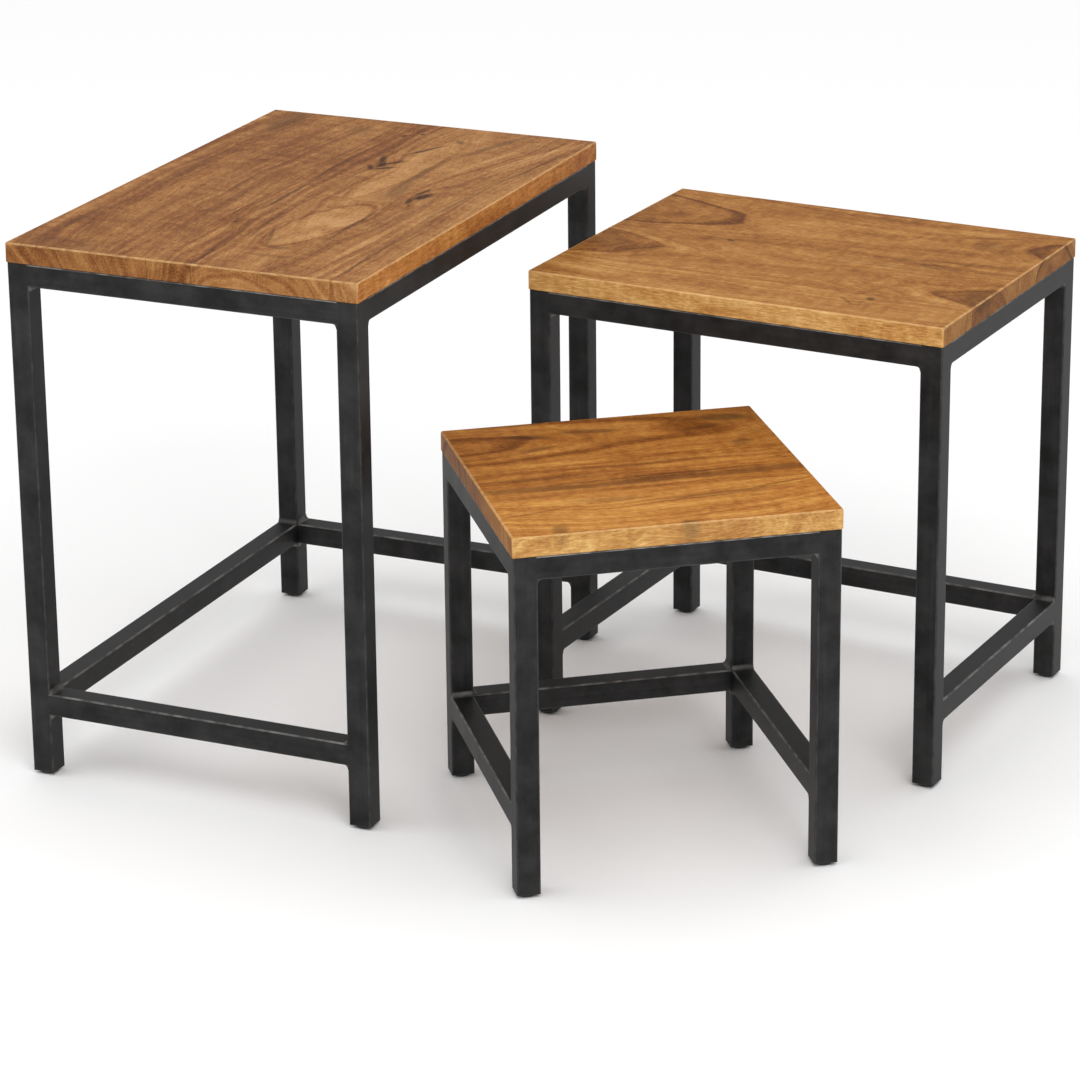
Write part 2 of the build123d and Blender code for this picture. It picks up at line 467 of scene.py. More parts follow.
def stud_mesh(radius, low, high):
    """A right-hand metric thread, rolled, with a chamfered end."""
    bm = bmesh.new()
    rings = []
    count = round((high - low) / STUD_PITCH * ROWS_PER_PITCH)
    for row in range(count + 1):
        z = low + row / count * (high - low)
        end = max(0.0, z - (high - STUD_CHAMFER)) / STUD_CHAMFER
        ring = []
        for k in range(STUD_SEGMENTS):
            angle = 2 * math.pi * k / STUD_SEGMENTS
            # The root of the thread is flat for a fifth of the pitch
            phase = (z / STUD_PITCH - angle / (2 * math.pi)) % 1
            flank = min(1.0, abs(phase * 2 - 1) * 1.25)
            r = radius - max(STUD_THREAD_DEPTH * flank, 0.9 * STUD_CHAMFER * end)
            ring.append(bm.verts.new((r * math.cos(angle), r * math.sin(angle), z)))
        rings.append(ring)
    skin_over(bm, rings)
    return finished(bm, "foot_stud")


def moulded_nylon(name, colour, scuffed):
    """Injection moulded nylon 6: black, matt from the mould's spark-eroded grain, scuffed in use."""
    material, tree = new_material(name)
    place = add(tree, "ShaderNodeTexCoord").outputs["Object"]
    scuffs = add(tree, "ShaderNodeTexNoise", {"Vector": place, "Scale": 240, "Detail": 5, "Roughness": 0.7})
    skin = add(
        tree, "ShaderNodeValToRGB", {"Fac": scuffs.outputs["Fac"]},
        stops=((0.45, linear(colour)), (0.8, linear(scuffed))),
    )
    # Spark-eroded grain, 0.4 mm from pit to pit
    grain = add(tree, "ShaderNodeTexNoise", {"Vector": place, "Scale": 2500, "Detail": 1})
    bump = add(
        tree, "ShaderNodeBump", {"Height": grain.outputs["Fac"], "Strength": 0.4, "Distance": 0.00005}
    )
    shader = add(
        tree, "ShaderNodeBsdfPrincipled",
        {"Base Color": skin.outputs["Color"], "Roughness": 0.55, "IOR": 1.53, "Normal": bump},
    )
    add(tree, "ShaderNodeOutputMaterial", {"Surface": shader})
    return material


def zinc_plate(name):
    """Bright zinc electroplate on rolled steel: pale, slightly blue, with a fine mottle."""
    material, tree = new_material(name)
    place = add(tree, "ShaderNodeTexCoord").outputs["Object"]
    # The mottle is 1.4 mm from patch to patch
    mottle = add(tree, "ShaderNodeTexNoise", {"Vector": place, "Scale": 700, "Detail": 3})
    tint = add(
        tree, "ShaderNodeValToRGB", {"Fac": mottle.outputs["Fac"]},
        stops=((0.3, linear("#9da3a8")), (0.7, linear("#c9cdd0"))),
    )
    rough = add(
        tree, "ShaderNodeMapRange", {"Value": mottle.outputs["Fac"], "To Min": 0.25, "To Max": 0.45}
    )
    shader = add(
        tree, "ShaderNodeBsdfPrincipled",
        {"Base Color": tint.outputs["Color"], "Metallic": 1.0, "Roughness": rough},
    )
    add(tree, "ShaderNodeOutputMaterial", {"Surface": shader})
    return material


foot_nylon = moulded_nylon("moulded_nylon_foot", "#1d1d1e", "#3a3a3a")
plug_nylon = moulded_nylon("moulded_nylon_plug", "#141415", "#2a2a2a")
stud_zinc = zinc_plate("zinc_plated_stud")

foot_low, foot_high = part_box("large_foot_front_left")
foot_radius = (foot_high.x - foot_low.x) / 2
foot_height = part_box("large_leg_plugs")[0].z - LEG_CLEAR
for table in tables:
    for corner_name, foot_point in table.corners():
        node = f"{table.name}_foot_{corner_name}"
        place = table.place @ Matrix.Translation(foot_point)
        disc = disc_mesh(foot_radius, foot_height)
        add_piece(f"{node}_disc", disc, foot_nylon, place, node, node)
        stud = stud_mesh(STUD_RADIUS, foot_height - STUD_SUNK, foot_high.z)
        add_piece(f"{node}_stud", stud, stud_zinc, place, node)
    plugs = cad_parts[f"{table.name}_leg_plugs"]
    for material_slot in plugs.material_slots:
        material_slot.material = plug_nylon


# ------------------------------------------------------------------------------------------------
# Fixings for the top: cut plate tabs, welded inside the rails before blackening, and a zinc plated
# pan head wood screw up through each one.

plate_steel = blackened_steel("blackened_steel_plate", "#1c1c1c", "#302f2f", "#7e7d7a", "place")
screw_zinc = zinc_plate("zinc_plated_screw")

for table in tables:
    for part, finish in (("fixing_tabs", plate_steel), ("top_screws", screw_zinc)):
        for material_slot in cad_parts[f"{table.name}_{part}"].material_slots:
            material_slot.material = finish


# ------------------------------------------------------------------------------------------------
# The tops: three or four wide sheesham boards, glued edge to edge, planed to 21.5 mm, the edges
# eased by hand and the whole lacquered satin. Each board is sawn from its own place in a trunk, so
# every point of it knows how far it is from the pith, and the growth rings follow from that.

# Radii of the eased edges: above, below, and upright at the four corners
TOP_EASE = 0.0018
UNDER_EASE = 0.001
CORNER_EASE = 0.00205
EASE_STEPS = 5
# From one ring of points to the next along a board, and about as much across it
BOARD_STATION = 0.012
GLUE_GAP = 0.00005
# How far apart two boards lie in the trunk, in metres, so that no two show the same grain
BOARDS_APART = 3.1
# How deep into the wood a swell, a tongue and a mark reach
SWELL_DEPTH = 0.06
TONGUE_DEPTH = 0.06
MARK_DEPTH = 0.03
# How strongly a tongue shows
TONGUE_GAIN = 1.6
# Half the width of a glue line as drawn, and how far in from a side the painted light of the lit edge reaches
GLUE_LINE_HALF = 0.00045
LIT_EDGE_REACH = 0.0009
# Where the five shades of a top lie between darkest and palest
SHADE_PLACES = (0.05, 0.30, 0.50, 0.70, 0.95)


class Board:
    """One board, in mm. The pith lies at three places, at the start, middle and end of the board:
    (across the top, below its upper face). heart is the heartwood's radius, how far it darkens the
    wood inside, and how dark its rim is. ring is one strong growth ring: radius, width, darkness."""

    def __init__(self, width, pith, heart=(0, 0, 0), ring=(0, 1, 0), tone=0.5):
        self.width = width / 1000
        self.pith = [(across / 1000, below / 1000) for across, below in pith]
        self.heart = Vector((heart[0] / 1000, heart[1], heart[2]))
        self.ring = Vector((ring[0] / 1000, ring[1] / 1000, ring[2]))
        self.tone = tone

    def from_pith(self, t, across, below):
        """Across and below a point's distance from the pith, at t of the board's length."""
        weights = ((1 - t) * (1 - 2 * t), 4 * t * (1 - t), t * (2 * t - 1))
        pith_across = sum(w * a for w, (a, _) in zip(weights, self.pith))
        pith_below = sum(w * b for w, (_, b) in zip(weights, self.pith))
        return across - pith_across, pith_below - below


boards_of = {
    "large": [
        Board(168, [(-60, 96), (-74, 100), (-52, 90)], tone=0.44),
        Board(52, [(330, 54), (306, 60), (318, 54)], tone=0.42),
        Board(
            159, [(272, 76), (276, 55), (296, 34)], heart=(70, -0.12, 0.5), ring=(84, 2.5, 0.45), tone=0.56
        ),
        Board(31, [(250, 44), (246, 46), (262, 44)], tone=0.54),
    ],
    "medium": [
        Board(78, [(196, 44), (188, 46), (194, 44)], tone=0.60),
        Board(130, [(141, 33), (140, 79), (118, 49)], heart=(60, 0.36, 0.45), tone=0.52),
        Board(172, [(290, 36), (285, 79), (316, 62)], heart=(70, 0.10, 0.9), ring=(86, 3, 0.15), tone=0.50),
    ],
    "small": [
        Board(112, [(152, 34), (134, 30), (160, 34)], ring=(76, 1.2, 0.35), tone=0.62),
        Board(86, [(286, 64), (294, 60), (288, 66)], tone=0.46),
        Board(146, [(285, 40), (286, 58), (283, 84)], heart=(50, 0.08, 0.9), ring=(72, 3.2, 0.9), tone=0.52),
    ],
}

# Knots and swells that the rings flow round, in mm from the top's front left corner: along the
# grain, across it, half length, half width, and how far they push the rings
swells_of = {
    "large": [
        (431, 232, 80, 34, 16), (322, 326, 90, 40, 20), (330, 296, 120, 26, -12),
        (560, 350, 200, 70, -22), (200, 262, 120, 30, -6), (470, 60, 160, 60, 8), (120, 90, 140, 50, -7),
    ],
    "medium": [
        (60, 372, 60, 44, 14), (366, 92, 70, 40, -10), (300, 170, 120, 40, 7), (240, 300, 150, 50, -6),
    ],
    "small": [(60, 110, 110, 40, -6), (210, 80, 130, 40, 6), (182, 2, 40, 24, 8), (240, 235, 120, 40, 6)],
}

# Dark figure, in mm from the top's front left corner: along the grain, across it, half length,
# half width, turn in degrees, darkness. A mark with darkness under nought is paler wood
figure_of = {
    "large": [
        (520, 372, 110, 10, -16, -0.3),
        (130, 352, 120, 7, -3, -0.45), (90, 190, 90, 9, 0, -0.4), (60, 130, 70, 8, 0, -0.3),
        (240, 60, 120, 12, 0, -0.2), (480, 330, 90, 6, -14, -0.4), (275, 189, 84, 4.5, 0, 0.75),
        (60, 214, 110, 3, 8, 0.5), (430, 185, 120, 3.5, -1, 0.5), (100, 379, 130, 3.5, 2, 0.5),
        (290, 374, 110, 3.5, -2, 0.5), (470, 391, 120, 3, -8, 0.55), (431, 229, 17, 10, 10, 1),
        (452, 220, 24, 5, 22, 0.95), (418, 238, 20, 5, -45, 0.95), (444, 238, 20, 4.5, -35, 0.95),
        (416, 222, 16, 5, 30, 0.9),
        (505, 247, 46, 4.5, -24, 0.8), (552, 268, 16, 6, 30, 0.6), (324, 329, 24, 11, -24, 1),
        (342, 322, 24, 5, -10, 0.9), (304, 322, 18, 6, 10, 0.85), (338, 293, 50, 15, 6, 0.45),
        (400, 287, 110, 8, -1, 0.5),
        (550, 312, 90, 9, -17, 0.5), (190, 309, 105, 3.5, 0, 0.5), (128, 246, 55, 3.5, 18, 0.5),
        (88, 276, 7, 20, 0, 0.45), (58, 282, 6, 36, 0, 0.3), (165, 222, 110, 3, 7, 0.4),
        (270, 346, 120, 3.5, 2, 0.35), (230, 331, 110, 3, 0, 0.3), (571, 40, 84, 24, 0, 0.5),
        (330, 38, 100, 11, -2, 0.35), (90, 26, 130, 9, -4, 0.35), (560, 138, 30, 20, 0, 0.35),
        (300, 120, 70, 4, 3, 0.35), (240, 140, 90, 14, 0, 0.25), (20, 60, 30, 60, 0, 0.3),
        (570, 213, 7, 4, 0, 0.85), (555, 197, 8, 5, 0, 0.85), (161, 187, 6, 4, 0, 0.8),
    ],
    "medium": [
        (200, 280, 90, 50, 0, -0.3), (60, 45, 90, 26, 0, -0.35), (430, 90, 40, 10, 20, -0.25),
        (370, 345, 80, 14, -6, -0.3),
        (120, 210, 8, 2.5, 0, 0.4), (147, 204, 8, 4.5, 20, 0.85), (250, 212, 5, 4, 0, 0.4),
        (412, 227, 44, 2.5, 1, 0.45), (372, 214, 52, 3, -2, 0.35), (395, 205, 44, 12, 5, 0.3),
        (455, 203, 26, 2, -11, 0.4), (377, 64, 8, 7, 30, 0.8), (356, 47, 30, 3, 42, 0.35),
        (373, 44, 24, 2, 75, 0.25), (366, 97, 32, 3, -60, 0.25), (340, 322, 22, 4, -10, 0.4),
        (415, 340, 76, 3, -20, 0.35), (12, 140, 22, 21.5, 0, 0.4), (330, 190, 90, 13.5, 3, 0.15),
        (250, 165, 60, 4, 4, 0.15), (478, 110, 26, 40.5, 0, 0.35), (412, 305, 30, 27, 40, 0.2),
    ],
    "small": [
        (90, 208, 120, 8, 2, -0.4), (230, 218, 90, 7, 6, -0.35), (215, 278, 30, 14, 0, -0.4),
        (70, 90, 60, 10, 0, -0.3),
        (150, 125, 160, 6, 0, -0.35), (200, 56, 120, 9, -2, -0.35), (290, 40, 60, 14, 0, -0.3),
        (60, 134, 110, 13, 2, 0.5), (190, 136, 130, 13, -2, 0.5), (300, 140, 90, 13, -2, 0.5),
        (180, 148, 190, 3, -2, 0.6), (190, 131, 170, 3, -1, 0.55), (120, 88, 60, 8, 4, 0.35),
        (230, 79, 100, 6, -4, 0.4),
        (215, 71, 110, 2, -4, 0.55), (295, 92, 60, 3, -16, 0.5), (40, 67, 60, 2, -13, 0.5),
        (40, 110, 60, 1.5, -1, 0.5), (84, 298, 38, 11, 14, 0.65), (88, 258, 34, 7, -14, 0.55),
        (152, 302, 50, 9.5, 8, 0.55), (300, 312, 44, 16, 10, 0.7), (270, 286, 34, 8, -6, 0.45),
        (298, 230, 16, 16, 0, 0.45), (52, 12, 12, 19, 10, 0.5), (182, 2, 14, 8, 0, 0.55),
        (60, 165, 120, 7, 0, 0.3), (190, 188, 120, 7, 0, 0.25),
    ],
}

# Tongues, where the saw just cut a growth ring's crown: pale wood inside nested darker lines, in mm
# from the top's front left corner: along, across, half length, half width, turn, strength
tongues_of = {
    "large": [(182, 275, 114, 40, -9, 0.85), (430, 262, 175, 28, -2, 0.5), (505, 374, 130, 15, -16, 0.5)],
    "medium": [],
    "small": [],
}
# Grey at shares of the way in from a tongue's edge: 0.5 leaves the wood as it is, and more is paler
TONGUE_SHADES = (
    (0.0, 0.5), (0.06, 0.42), (0.12, 0.52), (0.19, 0.32), (0.28, 0.6), (0.45, 0.68), (1.0, 0.76),
)


def eased(distance, radius):
    """How far a rounded edge of this radius has fallen at a distance from its end."""
    if distance >= radius:
        return 0.0
    return radius - math.sqrt(max(0.0, radius**2 - (radius - distance) ** 2))


def board_section(low, high, bottom, top, inset, round_low, round_high):
    """A board's outline across the grain, as (across, height, pale edge) points. Its upper rounded edges are
    painted pale, partly for worn lacquer and partly as a painted highlight, and a side that is glued to the
    next board stays square."""

    def corner(at, inwards, height, up, radius, rounded):
        """From the side face up or down to the flat, round the edge."""
        if not rounded:
            return [(at, height, 0.0)]
        found = []
        for step in range(EASE_STEPS + 1):
            angle = step / EASE_STEPS * math.pi / 2
            reach = radius * (1 - math.cos(angle))
            rise = radius * (1 - math.sin(angle))
            worn_and_lit = 1.0 if up < 0 and 0 < step < EASE_STEPS else 0.0
            found.append((at + inwards * (inset + reach), height + up * rise, worn_and_lit))
        return found

    def across_flat(first, last, height):
        """Points between two edges, evenly spaced over the flat."""
        spans = max(2, round(abs(last - first) / BOARD_STATION))
        return [(first + (last - first) * k / spans, height, 0.0) for k in range(1, spans)]

    lower_low = corner(low, 1, bottom, 1, UNDER_EASE, round_low)
    lower_high = corner(high, -1, bottom, 1, UNDER_EASE, round_high)
    upper_low = corner(low, 1, top, -1, TOP_EASE, round_low)
    upper_high = corner(high, -1, top, -1, TOP_EASE, round_high)
    under = across_flat(lower_low[-1][0], lower_high[-1][0], bottom)
    over = across_flat(upper_high[-1][0], upper_low[-1][0], top)
    return lower_low + under + lower_high[::-1] + upper_high + over + upper_low[::-1]


def top_mesh(name, boards, length, bottom, top, turn):
    """All boards of one top as closed bodies. X runs along the grain, Y across it, from a corner.
    Their attributes hold a point's place in the trunk and on the top, and its board's looks."""
    bm = bmesh.new()
    trunk = bm.verts.layers.float_vector.new("trunk")
    face = bm.verts.layers.float_vector.new("face")
    about = bm.verts.layers.float_vector.new("about")
    heart = bm.verts.layers.float_vector.new("heart")
    ring_at = bm.verts.layers.float_vector.new("ring")
    ends = [TOP_EASE * (1 - math.cos(k / EASE_STEPS * math.pi / 2)) for k in range(EASE_STEPS + 1)]
    ends.append(CORNER_EASE * 1.2)
    count = round((length - 2 * ends[-1]) / BOARD_STATION)
    inner = [ends[-1] + (length - 2 * ends[-1]) * k / count for k in range(1, count)]
    stations = ends + inner + [length - e for e in reversed(ends)]
    edge = 0.0
    for index, board in enumerate(boards):
        first, last = index == 0, index == len(boards) - 1
        low = edge + (0 if first else GLUE_GAP)
        edge += board.width
        high = edge - (0 if last else GLUE_GAP)
        rings = []
        for s in stations:
            off_end = min(s, length - s)
            section = board_section(
                low, high, bottom + eased(off_end, UNDER_EASE), top - eased(off_end, TOP_EASE),
                eased(off_end, CORNER_EASE), first, last,
            )
            ring = []
            for across, height, worn_and_lit in section:
                vert = bm.verts.new((s, across, height))
                from_pith = board.from_pith(s / length, across, top - height)
                vert[trunk] = (s + index * BOARDS_APART, *from_pith)
                vert[face] = (s, across, height - top)
                at_end = 1.0 if off_end == 0 else 0.0
                upper_rim = 0 < off_end < TOP_EASE and height > (bottom + top) / 2
                vert[about] = (board.tone, max(worn_and_lit, 1.0 if upper_rim else 0.0), at_end)
                vert[heart] = board.heart
                vert[ring_at] = board.ring
                ring.append(vert)
            rings.append(ring)
        skin_over(bm, rings)
    bm.transform(turn)
    return finished(bm, name)


def spot(tree, place, along, across, long, wide, deep, turned_by, fade):
    """A soft ellipsoid in the wood, nought at its rim and one at its middle. Where it lies, how long
    and how wide it is are in mm, and how deep it goes is in metres."""
    inside = add(
        tree, "ShaderNodeMapping",
        {
            "Vector": place, "Location": (along / 1000, across / 1000, 0),
            "Rotation": (0, 0, -math.radians(turned_by)), "Scale": (long / 1000, wide / 1000, deep),
        },
        vector_type="TEXTURE",
    )
    return add(tree, "ShaderNodeTexGradient", {"Vector": inside}, gradient_type=fade).outputs["Fac"]


def rings_about_pith(tree, trunk, face, swells):
    """Each point's place in the bent trunk, and the radius of the growth ring that it lies on."""
    # No trunk is straight: the rings wander by 5 mm over 125 mm of length, and by 1 mm over 30 mm
    slow = add(tree, "ShaderNodeVectorMath", {0: trunk, 1: (8, 20, 20)}, operation="MULTIPLY")
    drift = add(tree, "ShaderNodeTexNoise", {"Vector": slow, "Scale": 1, "Detail": 2, "Roughness": 0.35})
    off = add(
        tree, "ShaderNodeVectorMath", {0: drift.outputs["Color"], 1: (0.5, 0.5, 0.5)},
        operation="SUBTRACT",
    )
    push = add(tree, "ShaderNodeVectorMath", {0: off, 1: (0, 0.026, 0.026)}, operation="MULTIPLY")
    bent = add(tree, "ShaderNodeVectorMath", {0: trunk, 1: push}, operation="ADD")
    flat = add(tree, "ShaderNodeVectorMath", {0: bent, 1: (0, 1, 1)}, operation="MULTIPLY")
    radius = add(tree, "ShaderNodeVectorMath", {0: flat}, operation="LENGTH").outputs["Value"]
    for along, across, long, wide, lift in swells:
        ball = spot(tree, face, along, across, long, wide, SWELL_DEPTH, 0, "QUADRATIC_SPHERE")
        swell = {0: ball, 1: lift / 1000, 2: radius}
        radius = add(tree, "ShaderNodeMath", swell, operation="MULTIPLY_ADD")
    return bent, radius


def heart_and_strong_ring(tree, heart, ring_at, radius, patchy):
    """How much darker a board's heartwood and its one strong ring make the wood."""
    heart_radius, heart_fill, heart_rim = add(tree, "ShaderNodeSeparateXYZ", {0: heart}).outputs
    strong_radius, strong_width, strong_dark = add(tree, "ShaderNodeSeparateXYZ", {0: ring_at}).outputs
    # The heartwood's rim is crisp outside, and fades inside over 9 mm
    into = add(tree, "ShaderNodeMath", {0: heart_radius, 1: radius}, operation="SUBTRACT")
    inside = add(
        tree, "ShaderNodeMapRange", {"Value": into, "From Min": 0.0, "From Max": 0.0016},
        interpolation_type="SMOOTHSTEP",
    )
    fading = add(
        tree, "ShaderNodeMapRange",
        {"Value": into, "From Min": 0.001, "From Max": 0.010, "To Min": 1.0, "To Max": 0.0},
    )
    rim = add(tree, "ShaderNodeMath", {0: fading, 1: patchy}, operation="MULTIPLY")
    rim = add(tree, "ShaderNodeMath", {0: rim, 1: heart_rim}, operation="MULTIPLY")
    fill = add(tree, "ShaderNodeMath", {0: heart_fill, 1: rim}, operation="ADD")
    heart_shade = add(tree, "ShaderNodeMath", {0: inside, 1: fill}, operation="MULTIPLY")
    # The strong ring is darkest at its radius, and falls off smoothly on both sides
    off_ring = add(tree, "ShaderNodeMath", {0: radius, 1: strong_radius}, operation="SUBTRACT")
    off_ring = add(tree, "ShaderNodeMath", {0: off_ring, 1: strong_width}, operation="DIVIDE")
    off_ring = add(tree, "ShaderNodeMath", {0: off_ring, 1: off_ring}, operation="MULTIPLY")
    falling = add(tree, "ShaderNodeMath", {0: off_ring, 1: -1.0}, operation="MULTIPLY")
    falling = add(tree, "ShaderNodeMath", {0: falling}, operation="EXPONENT")
    ring_shade = add(tree, "ShaderNodeMath", {0: falling, 1: strong_dark}, operation="MULTIPLY")
    ring_shade = add(tree, "ShaderNodeMath", {0: ring_shade, 1: patchy}, operation="MULTIPLY")
    return add(tree, "ShaderNodeMath", {0: heart_shade, 1: ring_shade}, operation="ADD")


def strongest(tree, marks):
    """The strongest of several marks at each point."""
    found = marks[0]
    for mark in marks[1:]:
        found = add(tree, "ShaderNodeMath", {0: found, 1: mark}, operation="MAXIMUM")
    return found


def figure_marks(tree, place, figure):
    """All dark marks as one, and all pale ones as one: streaks, knots and stains with soft edges."""
    dark_marks = []
    pale_marks = []
    for along, across, long, wide, turned_by, dark in figure:
        ball = spot(tree, place, along, across, long, wide, MARK_DEPTH, turned_by, "SPHERICAL")
        mark = add(
            tree, "ShaderNodeMapRange", {"Value": ball, "From Max": 0.7, "To Max": abs(dark)},
            interpolation_type="SMOOTHSTEP",
        )
        if dark < 0:
            pale_marks.append(mark)
        else:
            dark_marks.append(mark)
    return strongest(tree, dark_marks), strongest(tree, pale_marks)


def with_tongues(tree, level, place, tongues):
    """The wood's level, from dark to pale, with the tongues laid on it."""
    greys = [(share, (grey, grey, grey, 1.0)) for share, grey in TONGUE_SHADES]
    for along, across, long, wide, turned_by, strength in tongues:
        inwards = spot(tree, place, along, across, long, wide, TONGUE_DEPTH, turned_by, "SPHERICAL")
        nest = add(tree, "ShaderNodeValToRGB", {"Fac": inwards}, stops=greys)
        shift = add(tree, "ShaderNodeMath", {0: nest.outputs["Color"], 1: 0.5}, operation="SUBTRACT")
        level = add(
            tree, "ShaderNodeMath", {0: shift, 1: TONGUE_GAIN * strength, 2: level},
            operation="MULTIPLY_ADD",
        )
    return level


def sheesham(name, shades, swells, figure, tongues, seams, lit_edge, end_thirst_and_shade):
    """Sheesham, planed and satin lacquered: growth rings that show as tongues on a flat sawn board
    and as stripes on a quarter sawn one, a dark heart, short dark pores and a low even sheen."""
    material, tree = new_material(name)
    trunk, face, about, heart, ring_at = [
        add(tree, "ShaderNodeAttribute", attribute_name=attribute).outputs["Vector"]
        for attribute in ("trunk", "face", "about", "heart", "ring")
    ]
    tone, worn_and_lit, at_end = add(tree, "ShaderNodeSeparateXYZ", {0: about}).outputs
    bent, radius = rings_about_pith(tree, trunk, face, swells)

    # Growth rings: bands from about 8 mm down to 1 mm wide, with no regular beat
    fine = add(tree, "ShaderNodeMath", {0: radius, 1: 120.0}, operation="MULTIPLY")
    rings = add(
        tree, "ShaderNodeTexNoise", {"W": fine, "Scale": 1, "Detail": 4, "Roughness": 0.62},
        noise_dimensions="1D",
    ).outputs["Fac"]
    # Fibre: streaks about 1 mm wide and 40 mm long
    thread = add(tree, "ShaderNodeVectorMath", {0: bent, 1: (25, 900, 900)}, operation="MULTIPLY")
    fibre = add(
        tree, "ShaderNodeTexNoise", {"Vector": thread, "Scale": 1, "Detail": 3, "Roughness": 0.6}
    ).outputs["Fac"]
    # Bands where the colour drifts, about 35 mm wide and 170 mm long
    broad = add(tree, "ShaderNodeVectorMath", {0: bent, 1: (6, 30, 30)}, operation="MULTIPLY")
    cloud = add(
        tree, "ShaderNodeTexNoise", {"Vector": broad, "Scale": 1, "Detail": 4, "Roughness": 0.55}
    ).outputs["Fac"]
    # A mottle that lies across the grain, 14 mm by 38 mm
    curl = add(tree, "ShaderNodeVectorMath", {0: bent, 1: (70, 26, 26)}, operation="MULTIPLY")
    mottle = add(
        tree, "ShaderNodeTexNoise", {"Vector": curl, "Scale": 1, "Detail": 5, "Roughness": 0.65}
    ).outputs["Fac"]
    # Fine interlocked grain, in streaks 2 mm wide and 9 mm long, that shows a little less on the
    # edges than on the face. The turn only keeps its noise apart from the other ones
    turned_face = add(
        tree, "ShaderNodeMapping", {"Vector": face, "Rotation": (0, 0, 0.22), "Scale": (110, 520, 520)}
    )
    weave = add(
        tree, "ShaderNodeTexNoise", {"Vector": turned_face, "Scale": 1, "Detail": 3, "Roughness": 0.7}
    ).outputs["Fac"]
    _, face_across, face_height = add(tree, "ShaderNodeSeparateXYZ", {0: face}).outputs
    weave_weight = add(
        tree, "ShaderNodeMapRange",
        {"Value": face_height, "From Min": -0.004, "From Max": -0.001, "To Min": 0.9, "To Max": 1.15},
    )
    # The rings come and go along a board
    ring_weight = add(
        tree, "ShaderNodeMapRange",
        {"Value": mottle, "From Min": 0.3, "From Max": 0.7, "To Min": 0.3, "To Max": 1.0},
    )
    # The level says how dark or pale the wood is, from nought to one
    level = tone
    for source, weight in (
        (rings, ring_weight), (fibre, 0.8), (cloud, 0.8), (mottle, 0.6), (weave, weave_weight),
    ):
        centred = add(tree, "ShaderNodeMath", {0: source, 1: 0.5}, operation="SUBTRACT")
        level = add(tree, "ShaderNodeMath", {0: centred, 1: weight, 2: level}, operation="MULTIPLY_ADD")
    patchy = add(
        tree, "ShaderNodeMapRange",
        {"Value": cloud, "From Min": 0.3, "From Max": 0.62, "To Min": 0.35, "To Max": 1.0},
    )
    shade = heart_and_strong_ring(tree, heart, ring_at, radius, patchy)
    level = add(tree, "ShaderNodeMath", {0: shade, 1: -0.5, 2: level}, operation="MULTIPLY_ADD")

    # Marks and tongues lie on wandering grain: their outlines sway by 2 mm over 20 to 45 mm
    near = add(tree, "ShaderNodeVectorMath", {0: face, 1: (22, 45, 45)}, operation="MULTIPLY")
    waver = add(tree, "ShaderNodeTexNoise", {"Vector": near, "Scale": 1, "Detail": 5, "Roughness": 0.6})
    sway = add(
        tree, "ShaderNodeVectorMath", {0: waver.outputs["Color"], 1: (0.5, 0.5, 0.5)},
        operation="SUBTRACT",
    )
    sway = add(tree, "ShaderNodeVectorMath", {0: sway, 1: (0.008, 0.009, 0.0)}, operation="MULTIPLY")
    swayed = add(tree, "ShaderNodeVectorMath", {0: face, 1: sway}, operation="ADD")
    stain, bright = figure_marks(tree, swayed, figure)
    broken = add(
        tree, "ShaderNodeMapRange",
        {"Value": fibre, "From Min": 0.2, "From Max": 0.55, "To Min": 0.55, "To Max": 1.0},
    )
    stain = add(tree, "ShaderNodeMath", {0: stain, 1: broken}, operation="MULTIPLY")
    level = add(tree, "ShaderNodeMath", {0: bright, 1: 0.6, 2: level}, operation="MULTIPLY_ADD")
    level = with_tongues(tree, level, swayed, tongues)

    ramp = add(
        tree, "ShaderNodeValToRGB", {"Fac": level},
        stops=[(position, linear(colour)) for position, colour in zip(SHADE_PLACES, shades)],
    )
    heartwood_brown = linear("#3f2517")
    pore_brown = linear("#4a2c18")
    # Pale for the upper arrises: worn lacquer with a painted highlight
    worn_and_lit_pale = linear("#d9b07c")
    colour = add(
        tree, "ShaderNodeMix", {"Factor": stain, 6: ramp.outputs["Color"], 7: heartwood_brown},
        data_type="RGBA",
    ).outputs[2]

    # Glue lines: a hair of darker wood where two boards meet, drawn 0.9 mm wide to show
    for seam in seams:
        on_seam = add(
            tree, "ShaderNodeMath", {0: face_across, 1: seam, 2: GLUE_LINE_HALF}, operation="COMPARE"
        )
        showing = add(tree, "ShaderNodeMath", {0: on_seam, 1: patchy}, operation="MULTIPLY")
        showing = add(tree, "ShaderNodeMath", {0: showing, 1: 0.5}, operation="MULTIPLY")
        colour = add(
            tree, "ShaderNodeMix", {"Factor": showing, 6: colour, 7: heartwood_brown}, data_type="RGBA"
        ).outputs[2]

    # Pores: short dark dashes. The real ones are 0.2 mm wide, and are drawn at 0.5 mm to show
    dash = add(tree, "ShaderNodeVectorMath", {0: trunk, 1: (120, 1400, 1400)}, operation="MULTIPLY")
    dashes = add(tree, "ShaderNodeTexNoise", {"Vector": dash, "Scale": 1, "Detail": 1}).outputs["Fac"]
    pore = add(
        tree, "ShaderNodeMapRange", {"Value": dashes, "From Min": 0.64, "From Max": 0.74, "To Max": 0.42}
    )
    colour = add(
        tree, "ShaderNodeMix", {"Factor": pore, 6: colour, 7: pore_brown}, data_type="RGBA"
    ).outputs[2]

